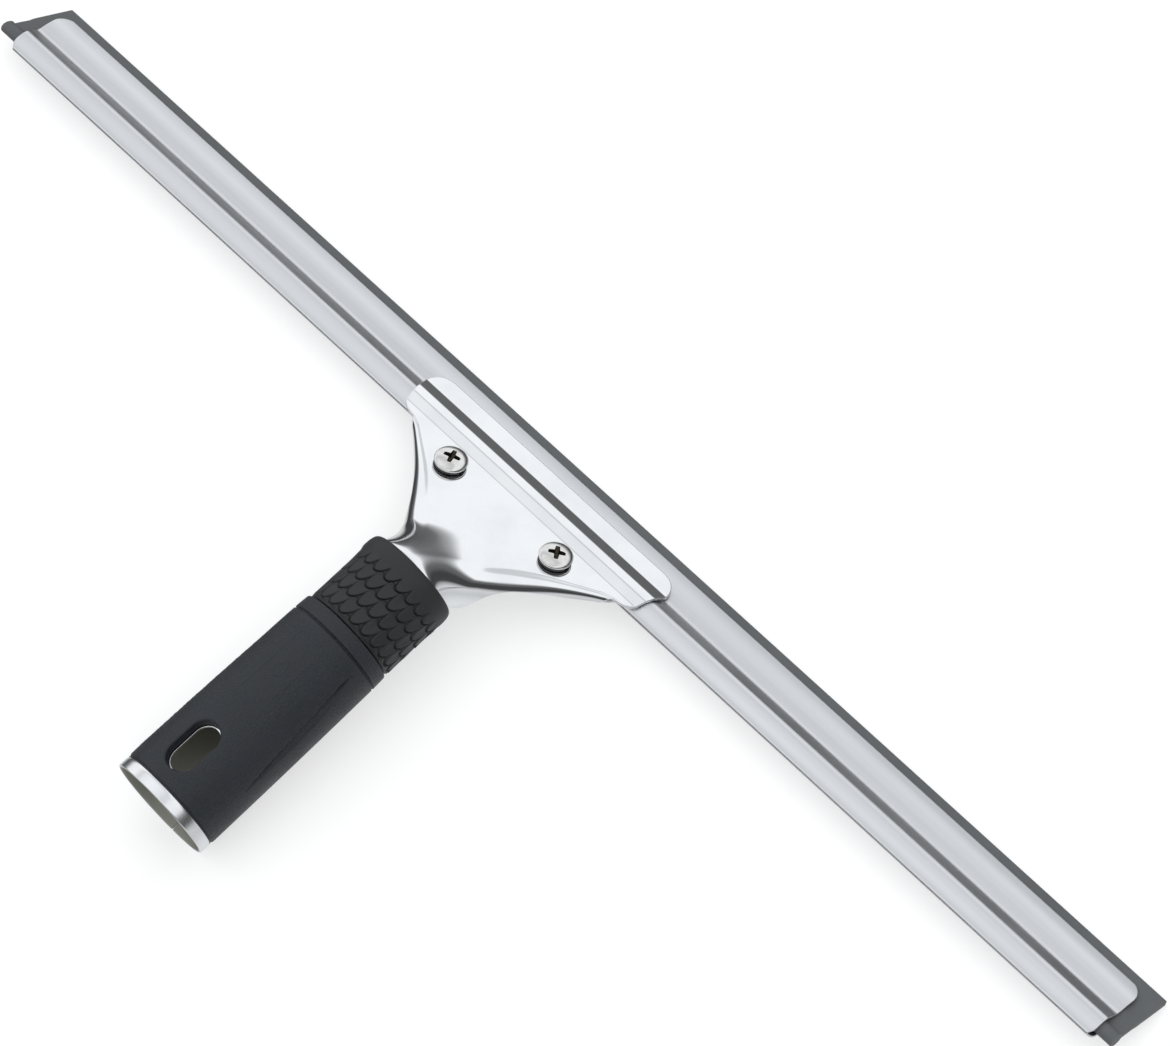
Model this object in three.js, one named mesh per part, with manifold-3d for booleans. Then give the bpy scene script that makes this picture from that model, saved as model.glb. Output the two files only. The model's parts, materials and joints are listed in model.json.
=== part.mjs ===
// Window cleaning squeegee: a pressed stainless handle that clamps a stainless channel, which holds
// a rubber blade. Millimetres.
//
// Everything is drawn in the jaw's own axes: +X along the blade, +Y towards the blade's edge and +Z
// on the screws' side of the clamp. The whole group is then tipped until it rests on the blade's
// edge and on the rim of its tube, as it lies on a table, with the origin under its middle.
import * as THREE from 'three';
import { mergeVertices } from 'three/addons/utils/BufferGeometryUtils.js';
import { ParametricGeometry } from 'three/addons/geometries/ParametricGeometry.js';
import Module from 'manifold-3d';

const wasm = await Module();
wasm.setup();

const FIT = 0.3; // gap left between pieces that touch
const ROUND_STEPS = 28; // sides of a fastener
const SLEEVE_STEPS = 48;
const ROLL_STEPS = 12; // along each rolled side of a sheet
const FLAT_STEPS = 5; // along each half of a sheet's flat middle
const REACH = 100; // beyond everything here, for cutters
const degrees = THREE.MathUtils.degToRad;
const { lerp, smoothstep } = THREE.MathUtils;

// Blade: a flat rubber web with a round bead along its back.
const BLADE = {
  left: -226.5, // end at the wiping edge
  right: 230.2,
  edge: 0.7, // Y of the wiping edge
  middle: -1.9, // Z of the web's middle plane, and of the clamp's
  web: 1.8,
  neck: 1.3, // web thickness beside the bead
  neckFront: -11.5,
  neckFade: 1.5,
  bead: 4.4, // diameter
  beadY: -19.9,
  endSlope: 0.27, // the left end is cut at a slant: X lost per mm of depth
};

// Channel: one strip folded round the bead.
const CHANNEL = { length: 450, sheet: 0.7, front: -2.9, frontCorner: 5, backCorner: 2.5, back: -24.85 };

// Clamp jaws: a bent strip over either side of the channel. Heights run from the blade's middle
// plane to the middle of the sheet.
const JAW = {
  halfWidth: 50.1,
  sheet: 1,
  bend: 0.5,
  front: -8.5,
  back: -26.6,
  frontCorner: 6,
  backCorner: 3.5,
  slant: 3, // how far either end leans in from front to back
  lip: 3.05,
  lipEnd: -10.5,
  valley: 2.75,
  valleyY: -14.1,
  ridge: 4.1,
  ridgeFrom: -18.6,
  ridgeTo: -21,
  stepEnd: -24.3, // the flat plate starts here
  plate: 3,
};

// The flat plates behind the jaws, with their sides rolled towards each other.
const PLATE = {
  front: -25.6,
  halfWidth: 44, // at its front
  flare: 2.1, // how fast it narrows towards the neck
  rollFront: 2.4, // radius of the rolled sides
  rollBack: 7,
  rollFrom: -28, // the radius grows from here to rollTo
  rollTo: -46,
  depthFront: 2.4, // how far the sides come down
  depthBack: 4.2,
  depthTo: -36, // the depth grows from the front to here
};

// Neck: the top rises from the plate to the tube in one swelling.
const NECK = {
  start: -40, // Y where the flat top ends
  ease: -51, // where the rise would begin if it were sharp
  crest: 2, // the tube's line runs on this far past its round part
  swell: 13, // half width of the swelling
  swellStart: 0.1, // share of the rise after which the shoulders follow the middle up
  closeStart: 0.15, // share of the rise after which the sides begin to close underneath
  steps: 16,
};

// Tube: the same sheet rolled round, tilted down from the jaw plane.
const TUBE = {
  tilt: degrees(25.67),
  rear: [-150.85, -45.5], // Y and Z of the middle of the open end
  radius: 12.7,
  length: 96.3, // round part, from the open end
  rim: 16.4,
  rimRound: 0.5,
  flareEnd: 8.5, // the rim has blended into the tube here
  flareStart: 2.8,
  seam: degrees(1.4), // half of the butt seam, along the underside
};

const SLOT = { centre: 17.3, length: 17, width: 9.3, lip: 0.9 }; // hanging slot, on the tube's top

const GRIP = {
  rear: 3.9,
  rearEdge: 0.5,
  groove: 65.4,
  grooveWidth: 0.7,
  grooveDepth: 0.6,
  split: 70.6,
  front: 96.3,
  rearRadius: 16.6,
  middleRadius: 15.75,
  bandRadius: 15.5,
  frontRadius: 15.4,
  noseRadius: 13.9,
  noseLength: 4.5,
};

const SCREW = {
  x: 21.85,
  y: -31,
  shank: 4.8,
  hole: 5.8,
  length: 12,
  head: 10,
  headHeight: 2.1,
  headEdge: 0.5, // upright side below the dome
  tip: 0.5, // chamfer at the end of the shank
  recess: 5.2,
  recessWidth: 1.3,
  recessDepth: 1.5,
};

const WASHER = { inner: 5.4, outer: 9.6, thickness: 0.9, split: 1 };

const NUT = { bore: 5.4, pilot: 7, body: 9, height: 3.2, chamfer: 0.5 };

// Tail of the lower jaw: it narrows to pass into the neck and ends in a tab turned up under it.
const LOWER = { inset: 9 }; // how much shorter the lower jaw's bent strip is at each end
const HEEL = {
  y: -54.5,
  width: 13,
  top: 1.1,
  insetFront: 8.7, // how much narrower than the upper plate the lower one is at its front
  inset: 6, // and from insetTo on, under the screws
  insetFrom: -27,
  insetTo: -30,
  tuck: 2.5, // how much more it narrows from tuckFrom to tuckTo
  tuckFrom: -34,
  tuckTo: -47,
  roll: 2,
  skirt: 0.2,
};

const steel = (colour, roughness) =>
  new THREE.MeshStandardMaterial({ color: colour, roughness, metalness: 1 });
const soft = (colour, roughness) =>
  new THREE.MeshStandardMaterial({ color: colour, roughness, metalness: 0 });

const materials = {
  polished: () => steel(0xdcdfe2, 0.12),
  satin: () => steel(0xc3c6c9, 0.3),
  plated: () => steel(0xbfc1c1, 0.25),
  blade: () => soft(0x55585a, 0.75),
  grip: () => soft(0x262a31, 0.7),
  scales: () => soft(0x232425, 0.75),
};

// ---- helpers ----

function solid(geometry) {
  const bare = geometry.clone();
  bare.deleteAttribute('normal');
  bare.deleteAttribute('uv');
  const merged = mergeVertices(bare, 1e-4);
  return new wasm.Manifold(
    new wasm.Mesh({
      numProp: 3,
      vertProperties: new Float32Array(merged.attributes.position.array),
      triVerts: new Uint32Array(merged.index.array),
    }),
  );
}

function piece(name, body, material) {
  const { vertProperties, triVerts } = body.getMesh();
  const geometry = new THREE.BufferGeometry();
  geometry.setAttribute('position', new THREE.BufferAttribute(vertProperties, 3));
  geometry.setIndex(new THREE.BufferAttribute(triVerts, 1));
  geometry.computeVertexNormals();
  const mesh = new THREE.Mesh(geometry, material);
  mesh.name = name;
  return mesh;
}

const point = (x, y) => new THREE.Vector2(x, y);

function extruded(shape, depth) {
  return new THREE.ExtrudeGeometry(shape, { depth, bevelEnabled: false, curveSegments: 8 });
}

// A shape in Y and Z, drawn out along X.
function alongX(shape, from, to) {
  const geometry = extruded(shape, to - from).translate(0, 0, from);
  const axes = new THREE.Matrix4().makeBasis(
    new THREE.Vector3(0, 1, 0),
    new THREE.Vector3(0, 0, 1),
    new THREE.Vector3(1, 0, 0),
  );
  return solid(geometry.applyMatrix4(axes));
}

// A shape in X and Y, as tall as everything here.
function alongZ(shape) {
  return solid(extruded(shape, 2 * REACH).translate(0, 0, -REACH));
}

// A profile of radius and height, turned round the Z axis.
function turned(profile, segments = ROUND_STEPS) {
  return solid(new THREE.LatheGeometry([...profile, profile[0]], segments).rotateX(Math.PI / 2));
}

function box(width, depth, height, x, y, z) {
  return solid(new THREE.BoxGeometry(width, depth, height).translate(x, y, z));
}

// The outline of a bent sheet, from the line through the middle of its thickness.
function sheetShape(line, thickness) {
  const side = (sign) =>
    line.map((here, i) => {
      const before = line[Math.max(i - 1, 0)];
      const after = line[Math.min(i + 1, line.length - 1)];
      const along = after.clone().sub(before).normalize();
      return point(-along.y, along.x).multiplyScalar((sign * thickness) / 2).add(here);
    });
  return new THREE.Shape([...side(1), ...side(-1).reverse()]);
}

// Straight runs joined by round bends.
function bentLine(corners, bend) {
  const path = new THREE.Path().moveTo(corners[0].x, corners[0].y);
  for (let i = 1; i < corners.length - 1; i++) {
    const here = corners[i];
    const before = corners[i - 1].clone().sub(here).setLength(bend).add(here);
    const after = corners[i + 1].clone().sub(here).setLength(bend).add(here);
    path.lineTo(before.x, before.y);
    path.quadraticCurveTo(here.x, here.y, after.x, after.y);
  }
  path.lineTo(corners.at(-1).x, corners.at(-1).y);
  return path.getPoints(4);
}

// A rectangle in plan with one corner radius at its front and another at its back.
function plan(halfWidth, front, back, frontCorner, backCorner) {
  const shape = new THREE.Shape();
  shape.moveTo(-halfWidth + backCorner, back);
  shape.lineTo(halfWidth - backCorner, back);
  shape.absarc(halfWidth - backCorner, back + backCorner, backCorner, -Math.PI / 2, 0);
  shape.absarc(halfWidth - frontCorner, front - frontCorner, frontCorner, 0, Math.PI / 2);
  shape.absarc(-halfWidth + frontCorner, front - frontCorner, frontCorner, Math.PI / 2, Math.PI);
  shape.absarc(-halfWidth + backCorner, back + backCorner, backCorner, Math.PI, Math.PI * 1.5);
  return shape;
}

// The section of a sheet arched over X: flat in the middle, round at both sides, then a straight
// skirt. It runs over the outside from left to right and back along the inside. Its middle may
// swell up by the height of the crown.
function archSection({ halfWidth, radius, sweep, skirt, crown }) {
  const flat = halfWidth - radius * Math.sin(Math.min(sweep, Math.PI / 2));
  const swollen = (p) => {
    const fall = Math.max(0, 1 - (p.x / NECK.swell) ** 2);
    return point(p.x, p.y + crown * fall ** 2);
  };
  const face = (inset) => {
    const half = [];
    for (let i = 1; i <= FLAT_STEPS; i++) half.push(point((flat * i) / FLAT_STEPS, -inset));
    for (let i = 1; i <= ROLL_STEPS; i++) {
      const angle = (sweep * i) / ROLL_STEPS;
      const reach = radius - inset;
      half.push(point(flat + reach * Math.sin(angle), -radius + reach * Math.cos(angle)));
    }
    const end = half.at(-1);
    half.push(point(end.x + skirt * Math.cos(sweep), end.y - skirt * Math.sin(sweep)));
    const mirrored = half.map((p) => point(-p.x, p.y)).reverse();
    return [...mirrored, point(0, -inset), ...half].map(swollen);
  };
  return [...face(0), ...face(JAW.sheet).reverse()];
}

// A body skinned over sections, each set at a place { y, z, tilt } and flat at both of its ends.
function skinned(stations, flip = 1) {
  const ring = ({ section, y, z, tilt }) =>
    section.map(
      (p) => new THREE.Vector3(p.x, y - p.y * Math.sin(tilt), z + flip * p.y * Math.cos(tilt)),
    );
  const closed = (points) => [...points, points[0]];
  const folded = (points) =>
    points.map((p, i) => p.clone().add(points[points.length - 1 - i]).multiplyScalar(0.5));
  const rings = stations.map(ring);
  const all = [folded(rings[0]), ...rings, folded(rings.at(-1))].map(closed);
  const place = (u, v, target) => {
    const row = all[Math.round(v * (all.length - 1))];
    const around = flip > 0 ? 1 - u : u;
    target.copy(row[Math.round(around * (row.length - 1))]);
  };
  return solid(new ParametricGeometry(place, all[0].length - 1, all.length - 1));
}

// ---- blade ----

function rubberBlade() {
  const { middle, edge, web, neck, neckFront, neckFade, bead, beadY } = BLADE;
  const half = web / 2;
  const thin = neck / 2;
  const radius = bead / 2;
  const join = Math.asin(thin / radius);
  const shape = new THREE.Shape();
  shape.moveTo(edge, middle - half);
  shape.lineTo(edge, middle + half);
  shape.lineTo(neckFront, middle + half);
  shape.lineTo(neckFront - neckFade, middle + thin);
  shape.lineTo(beadY + radius * Math.cos(join), middle + thin);
  shape.absarc(beadY, middle, radius, join, Math.PI * 2 - join);
  shape.lineTo(neckFront - neckFade, middle - thin);
  shape.lineTo(neckFront, middle - half);
  const outline = new THREE.Shape();
  const depth = 40;
  outline.moveTo(BLADE.left, edge);
  outline.lineTo(BLADE.left - depth * BLADE.endSlope, edge - depth);
  outline.lineTo(BLADE.right, edge - depth);
  outline.lineTo(BLADE.right, edge + 1);
  outline.lineTo(BLADE.left + BLADE.endSlope, edge + 1);
  return alongX(shape, BLADE.left - depth, BLADE.right).intersect(alongZ(outline));
}

// ---- channel ----

function channel() {
  const { length, sheet, front, frontCorner, backCorner, back } = CHANNEL;
  const backLine = back + sheet / 2;
  // Half of the strip's middle line, as Y and height over the blade's middle plane: the lip, the
  // valley that grips the web, the ridge over the bead and the fold at the back.
  const half = [
    point(front, 1.45),
    point(-7, 2),
    point(-10.3, 1.8),
    point(-13.8, 1.2),
    point(-16.3, 1.95),
    point(-19, 2.95),
    point(-21.6, 2.4),
    point(-23.6, 1.25),
  ];
  const mirrored = half.map((p) => point(p.x, -p.y)).reverse();
  const curve = new THREE.SplineCurve([...half, point(backLine, 0), ...mirrored]);
  const line = curve.getPoints(56).map((p) => p.add(point(0, BLADE.middle)));
  const strip = alongX(sheetShape(line, sheet), -length / 2, length / 2);
  const outline = plan(length / 2, front + 1, back - 1, frontCorner + 1, backCorner + 1);
  return strip.intersect(alongZ(outline));
}

// ---- clamp ----

// How far a rounded corner pulls a side in, at a distance from the end.
function cornerInset(distance, radius) {
  const gone = Math.min(radius, Math.max(0, radius - distance));
  return radius - Math.sqrt(radius ** 2 - gone ** 2);
}

// Half the length of a jaw's strip at a given Y.
function jawHalfWidth(y) {
  const { halfWidth, front, back, frontCorner, backCorner, slant } = JAW;
  const slantStart = front - frontCorner;
  const along = Math.max(0, (slantStart - y) / (slantStart - back));
  const corners = cornerInset(front - y, frontCorner) + cornerInset(y - back, backCorner);
  return halfWidth - slant * along - corners;
}

function jawOutline(inset) {
  const { front, back, frontCorner, backCorner } = JAW;
  const steps = 6;
  const side = [];
  for (let i = 0; i <= steps; i++) {
    side.push(front - frontCorner * (1 - Math.cos((Math.PI / 2) * (i / steps))));
  }
  for (let i = 0; i <= steps; i++) {
    side.push(back + backCorner * (1 - Math.sin((Math.PI / 2) * (i / steps))));
  }
  const right = side.map((y) => point(jawHalfWidth(y) - inset, y));
  right.unshift(point(right[0].x, front + 1));
  const left = right.map((p) => point(-p.x, p.y)).reverse();
  return new THREE.Shape([...right, ...left]);
}

// The bent front of either jaw: a lip over the channel's lip, a shallow valley, a slope up to the
// ridge over the bead and a step down to the flat plate.
function jawStrip(side) {
  const corners = [
    point(JAW.front, JAW.lip),
    point(JAW.lipEnd, JAW.lip),
    point(JAW.valleyY, JAW.valley),
    point(JAW.ridgeFrom, JAW.ridge),
    point(JAW.ridgeTo, JAW.ridge),
    point(JAW.stepEnd, JAW.plate),
    point(JAW.back - 1, JAW.plate),
  ].map((p) => point(p.x, BLADE.middle + side * p.y));
  const line = bentLine(corners, JAW.bend);
  const strip = alongX(sheetShape(line, JAW.sheet), -JAW.halfWidth, JAW.halfWidth);
  return strip.intersect(alongZ(jawOutline(side > 0 ? 0 : LOWER.inset)));
}

// Half the width of the clamp's plates at a given Y, down to the tube's radius.
const neckY = TUBE.rear[0] + TUBE.length * Math.cos(TUBE.tilt) - TUBE.radius * Math.sin(TUBE.tilt);
function plateHalfWidth(y) {
  const along = Math.max(0, (y - neckY) / (PLATE.front - neckY));
  return TUBE.radius + (PLATE.halfWidth - TUBE.radius) * along ** PLATE.flare;
}

// Radius of the upper plate's rolled sides.
function plateRoll(y) {
  return lerp(PLATE.rollFront, PLATE.rollBack, smoothstep(-y, -PLATE.rollFrom, -PLATE.rollTo));
}

function plateDepth(y) {
  return lerp(PLATE.depthFront, PLATE.depthBack, smoothstep(-y, -PLATE.front, -PLATE.depthTo));
}

// Angle the sides turn through to come down by their depth.
function plateSweep(y) {
  return Math.acos(1 - Math.min(1, plateDepth(y) / plateRoll(y)));
}

// The point on the tube's top at a distance from its open end.
function tubeTop(distance, radius) {
  const { tilt, rear } = TUBE;
  return point(
    rear[0] + distance * Math.cos(tilt) - radius * Math.sin(tilt),
    rear[1] + distance * Math.sin(tilt) + radius * Math.cos(tilt),
  );
}

function rimRadius(distance) {
  const { radius, rim, flareStart, flareEnd, rimRound } = TUBE;
  const flare = 1 - smoothstep(distance, flareStart, flareEnd);
  const rounding = rimRound * Math.max(0, 1 - distance / (2 * rimRound)) ** 2;
  return lerp(radius, rim, flare) - rounding;
}

const slotShape = (grow) => {
  const radius = SLOT.width / 2 + grow;
  const straight = (SLOT.length - SLOT.width) / 2;
  const shape = new THREE.Shape();
  shape.absarc(0, straight, radius, 0, Math.PI);
  shape.absarc(0, -straight, radius, Math.PI, Math.PI * 2);
  return shape;
};

// A cutter for the hanging slot, drawn along the tube's own axes and turned into the jaw's.
function slotCutter(grow) {
  const geometry = extruded(slotShape(grow), TUBE.rim + 5);
  geometry.translate(0, SLOT.centre, 0);
  geometry.rotateX(TUBE.tilt);
  return solid(geometry.translate(0, ...TUBE.rear));
}

function screwHoles(diameter) {
  const radius = diameter / 2;
  const hole = new THREE.CylinderGeometry(radius, radius, REACH, ROUND_STEPS).rotateX(Math.PI / 2);
  const left = solid(hole).translate([-SCREW.x, SCREW.y, 0]);
  const right = solid(hole).translate([SCREW.x, SCREW.y, 0]);
  return left.add(right);
}

// The upper plate with its rolled sides.
function plateStations(top) {
  return [PLATE.front, -28, -30.5, -33, -35, -37, -38.5, NECK.start].map((y) => {
    const section = archSection({
      halfWidth: plateHalfWidth(y),
      radius: plateRoll(y),
      sweep: plateSweep(y),
      skirt: Math.max(0, plateDepth(y) - plateRoll(y)),
      crown: 0,
    });
    return { section, y, z: top, tilt: 0 };
  });
}

// The neck: the top rises from the plate and the sides close under it into the tube.
function neckStations(top) {
  const end = tubeTop(TUBE.length, TUBE.radius);
  const forward = point(Math.cos(TUBE.tilt), Math.sin(TUBE.tilt));
  const crest = end.clone().add(forward.multiplyScalar(NECK.crest));
  const start = point(NECK.start, top);
  const rise = new THREE.CubicBezierCurve(start, point(NECK.ease, top), crest, end);
  const stations = [];
  for (let i = 1; i <= NECK.steps; i++) {
    const along = i / NECK.steps;
    const place = rise.getPoint(along);
    const turn = smoothstep(along, 0, 1);
    const tilt = TUBE.tilt * turn;
    const crown = (place.y - top) * (1 - smoothstep(along, NECK.swellStart, 1));
    const section = archSection({
      halfWidth: plateHalfWidth(place.x),
      radius: lerp(plateRoll(place.x), TUBE.radius, turn),
      sweep: lerp(plateSweep(place.x), Math.PI - TUBE.seam, smoothstep(along, NECK.closeStart, 1)),
      skirt: 0,
      crown,
    });
    const y = place.x + crown * Math.sin(tilt);
    const z = place.y - crown * Math.cos(tilt);
    stations.push({ section, y, z, tilt });
  }
  return stations;
}

function tubeStations() {
  const flare = [7.4, 6.4, 5.5, 4.6, 3.8];
  return [TUBE.length / 2, TUBE.flareEnd, ...flare, TUBE.flareStart, 1, TUBE.rimRound, 0].map((distance) => {
    const radius = rimRadius(distance);
    const sweep = Math.PI - TUBE.seam;
    const section = archSection({ halfWidth: radius, radius, sweep, skirt: 0, crown: 0 });
    const place = tubeTop(distance, radius);
    return { section, y: place.x, z: place.y, tilt: TUBE.tilt };
  });
}

function handleBody() {
  const top = BLADE.middle + JAW.plate + JAW.sheet / 2;
  const sheet = skinned([...plateStations(top), ...neckStations(top), ...tubeStations()]);
  const cutters = screwHoles(SCREW.hole).add(slotCutter(-SLOT.lip / 2));
  return sheet.add(jawStrip(1)).subtract(cutters);
}

function lowerJaw() {
  const bottom = BLADE.middle - JAW.plate - JAW.sheet / 2;
  const { insetFrom, insetTo, tuckFrom, tuckTo } = HEEL;
  const ys = [PLATE.front, insetFrom, -28.5, insetTo, -32, tuckFrom, -36, -38, -41, -44, tuckTo, HEEL.y];
  const stations = ys.map((y) => {
    const inset = lerp(HEEL.insetFront, HEEL.inset, smoothstep(-y, -HEEL.insetFrom, -HEEL.insetTo));
    const tuck = inset + HEEL.tuck * smoothstep(-y, -HEEL.tuckFrom, -HEEL.tuckTo);
    const section = archSection({
      halfWidth: plateHalfWidth(y) - tuck,
      radius: HEEL.roll,
      sweep: Math.PI / 2,
      skirt: HEEL.skirt,
      crown: 0,
    });
    return { section, y, z: bottom, tilt: 0 };
  });
  const height = HEEL.top - bottom;
  const heelY = HEEL.y + JAW.sheet / 2;
  const heel = box(HEEL.width, JAW.sheet, height, 0, heelY, bottom + height / 2);
  const holes = screwHoles(NUT.pilot + 2 * FIT);
  return skinned(stations, -1).add(jawStrip(-1)).add(heel).subtract(holes);
}

// ---- fasteners ----

const plateTop = BLADE.middle + JAW.plate + JAW.sheet / 2;
const plateBottom = BLADE.middle - JAW.plate + JAW.sheet / 2; // upper face of the lower plate
const washerZ = plateTop + FIT / 2;
const headZ = washerZ + WASHER.thickness + FIT / 2;

function clampScrew(x) {
  const { shank, length, tip, head, headHeight, headEdge } = SCREW;
  const profile = [
    point(0, -length),
    point(shank / 2 - tip, -length),
    point(shank / 2, -length + tip),
    point(shank / 2, 0),
    point(head / 2, 0),
  ];
  const steps = 6;
  for (let i = 0; i <= steps; i++) {
    const angle = (Math.PI / 2) * (i / steps);
    const height = headEdge + (headHeight - headEdge) * Math.sin(angle);
    profile.push(point((head / 2) * Math.cos(angle), height));
  }
  const { recess, recessWidth, recessDepth } = SCREW;
  const cutterZ = headHeight - recessDepth / 2 + FIT;
  const across = box(recess, recessWidth, recessDepth, 0, 0, cutterZ);
  const along = box(recessWidth, recess, recessDepth, 0, 0, cutterZ);
  return turned(profile).subtract(across.add(along)).translate([x, SCREW.y, headZ]);
}

function lockWasher(x) {
  const { inner, outer, thickness, split } = WASHER;
  const ring = turned([
    point(inner / 2, 0),
    point(outer / 2, 0),
    point(outer / 2, thickness),
    point(inner / 2, thickness),
  ]);
  const cut = box(outer, split, thickness * 3, outer / 2, 0, 0);
  return ring.subtract(cut).translate([x, SCREW.y, washerZ]);
}

function clampNut(x) {
  const { bore, pilot, body, height, chamfer } = NUT;
  const seat = -JAW.sheet - FIT;
  const profile = [
    point(bore / 2, 0),
    point(bore / 2, seat - height),
    point(body / 2 - chamfer, seat - height),
    point(body / 2, seat - height + chamfer),
    point(body / 2, seat),
    point(pilot / 2, seat),
    point(pilot / 2, 0),
  ];
  return turned(profile).translate([x, SCREW.y, plateBottom]);
}

// ---- grip ----

// A sleeve round the tube, from a profile of distance along it and radius.
function sleeve(profile) {
  const upright = turned(profile.map((p) => point(p.y, p.x)), SLEEVE_STEPS);
  const lean = THREE.MathUtils.radToDeg(TUBE.tilt) - 90;
  return upright.rotate([lean, 0, 0]).translate([0, ...TUBE.rear]);
}

function rearGrip() {
  const { rear, rearEdge, groove, grooveWidth, grooveDepth, split } = GRIP;
  const { rearRadius, middleRadius, bandRadius } = GRIP;
  const inner = TUBE.radius + FIT;
  const profile = [
    point(rear, rimRadius(rear) + FIT),
    point(rear, rearRadius - rearEdge),
    point(rear + rearEdge, rearRadius),
    point(groove, middleRadius),
    point(groove, middleRadius - grooveDepth),
    point(groove + grooveWidth, middleRadius - grooveDepth),
    point(groove + grooveWidth, middleRadius),
    point(split, bandRadius),
    point(split, inner),
  ];
  for (const distance of [TUBE.flareEnd, 7.4, 6.4, 5.5, 4.6]) {
    profile.push(point(distance, rimRadius(distance) + FIT));
  }
  return sleeve(profile).subtract(slotCutter(0));
}

function frontGrip() {
  const { split, front, frontRadius, noseRadius, noseLength } = GRIP;
  const inner = TUBE.radius + FIT;
  const rear = split + FIT;
  const noseStart = front - noseLength;
  const profile = [point(rear, inner), point(rear, frontRadius), point(noseStart, frontRadius)];
  const steps = 5;
  for (let i = 1; i <= steps; i++) {
    const angle = (Math.PI / 2) * (i / steps);
    const fall = (frontRadius - noseRadius) * (1 - Math.cos(angle));
    profile.push(point(noseStart + noseLength * Math.sin(angle), frontRadius - fall));
  }
  profile.push(point(front, inner));
  return sleeve(profile);
}

// ---- assembly ----

const assembly = new THREE.Group();
assembly.add(
  piece('handle_body', handleBody(), materials.polished()),
  piece('lower_jaw', lowerJaw(), materials.satin()),
  piece('channel', channel(), materials.satin()),
  piece('rubber_blade', rubberBlade(), materials.blade()),
  piece('rear_grip', rearGrip(), materials.grip()),
  piece('front_grip', frontGrip(), materials.scales()),
);
for (const [side, x] of [['left', -SCREW.x], ['right', SCREW.x]]) {
  assembly.add(
    piece(`clamp_screw_${side}`, clampScrew(x), materials.plated()),
    piece(`lock_washer_${side}`, lockWasher(x), materials.plated()),
    piece(`clamp_nut_${side}`, clampNut(x), materials.satin()),
  );
}

// The line from the lowest point of the tube's rim to the blade's lower front edge becomes level.
const down = point(Math.sin(TUBE.tilt), -Math.cos(TUBE.tilt));
const rimLow = tubeTop(TUBE.rimRound, 0).add(down.multiplyScalar(rimRadius(2 * TUBE.rimRound)));
const bladeLow = point(BLADE.edge, BLADE.middle - BLADE.web / 2);
const lie = Math.atan2(bladeLow.y - rimLow.y, bladeLow.x - rimLow.x);
assembly.rotation.x = -lie;

const group = new THREE.Group();
group.add(assembly);
const bounds = new THREE.Box3().setFromObject(group, true);
const middle = bounds.getCenter(new THREE.Vector3());
assembly.position.set(-middle.x, -middle.y, -bounds.min.z);

export default group;
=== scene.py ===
# Looks of a window cleaning squeegee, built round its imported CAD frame.
#
# Two working frames come from the record's mounts. JAW: +X along the blade, +Y towards its edge,
# +Z on the screws' side. TUBE: +Y along the tube from its open end, +Z on the slot's side. Sizes
# are in millimetres there; each piece's object carries its frame's place in metres.
import json
import math

import bmesh
import bpy
import numpy as np
from mathutils import Matrix, Vector, noise

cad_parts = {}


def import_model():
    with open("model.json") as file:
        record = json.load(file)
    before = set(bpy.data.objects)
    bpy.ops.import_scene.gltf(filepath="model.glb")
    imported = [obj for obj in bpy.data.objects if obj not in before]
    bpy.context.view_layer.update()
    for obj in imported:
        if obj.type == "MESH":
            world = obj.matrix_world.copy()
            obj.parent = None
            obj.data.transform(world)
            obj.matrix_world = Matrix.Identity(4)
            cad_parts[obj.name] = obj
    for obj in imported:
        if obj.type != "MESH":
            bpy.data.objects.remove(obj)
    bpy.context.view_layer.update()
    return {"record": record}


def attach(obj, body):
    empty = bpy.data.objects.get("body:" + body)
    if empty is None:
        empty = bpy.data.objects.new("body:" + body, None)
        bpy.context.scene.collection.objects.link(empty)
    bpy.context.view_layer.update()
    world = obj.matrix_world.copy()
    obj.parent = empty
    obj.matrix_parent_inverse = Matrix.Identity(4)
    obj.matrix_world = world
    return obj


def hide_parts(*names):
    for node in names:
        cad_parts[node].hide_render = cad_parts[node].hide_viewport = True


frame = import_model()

MM = 0.001

# ---- sizes, millimetres ----

BLADE_LEFT = -226.5
BLADE_RIGHT = 230.2
BLADE_EDGE = 0.7  # Y of the wiping edge
BLADE_CORNER = 0.12
MIDDLE = -1.9  # Z of the blade's middle plane, and of the clamp's
WEB = 1.8
NECK = 1.3  # web thickness beside the bead
BEAD = 4.4
BEAD_Y = -19.9
END_SLOPE = 0.27

CHANNEL_LENGTH = 450
CHANNEL_SHEET = 0.7
CHANNEL_FRONT = -2.9
CHANNEL_BACK = -24.85
# Y and height over the blade's middle plane: lip, valley, ridge, fold
CHANNEL_HALF = [
    (CHANNEL_FRONT, 1.45), (-7, 2), (-10.3, 1.8), (-13.8, 1.2),
    (-16.3, 1.95), (-19, 2.95), (-21.6, 2.4), (-23.6, 1.25),
]

SHEET = 1.0
JAW_HALF = 50.1
JAW_FRONT = -8.5
JAW_BACK = -26.6
JAW_FRONT_CORNER = 6.0
JAW_BACK_CORNER = 3.5
LOWER_INSET = 9.0  # how much shorter the lower jaw is at each end
JAW_SLANT = 3.0  # its ends lean in by this much towards the back
JAW_CORNERS = [(JAW_FRONT, 3.05), (-10.5, 3.05), (-14.1, 2.75), (-18.6, 4.1), (-21, 4.1), (-24.3, 3)]
JAW_BEND = 0.5
JAW_EDGE = 0.3  # rounding of the pressed sheets' edges
PLATE_RISE = 3.0  # middle plane to the middle of either flat plate
PLATE_FRONT = -25.6
PLATE_HALF = 44.0
PLATE_FLARE = 2.1
PLATE_END = -40.0
NECK_EASE = -51.0  # where the rise to the tube would begin if it were sharp
CREST = 2.0  # length of tube that runs on past its round part, to the neck's crest
CROWN_HALF = 13.0  # half width of the swelling on top of the neck

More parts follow.
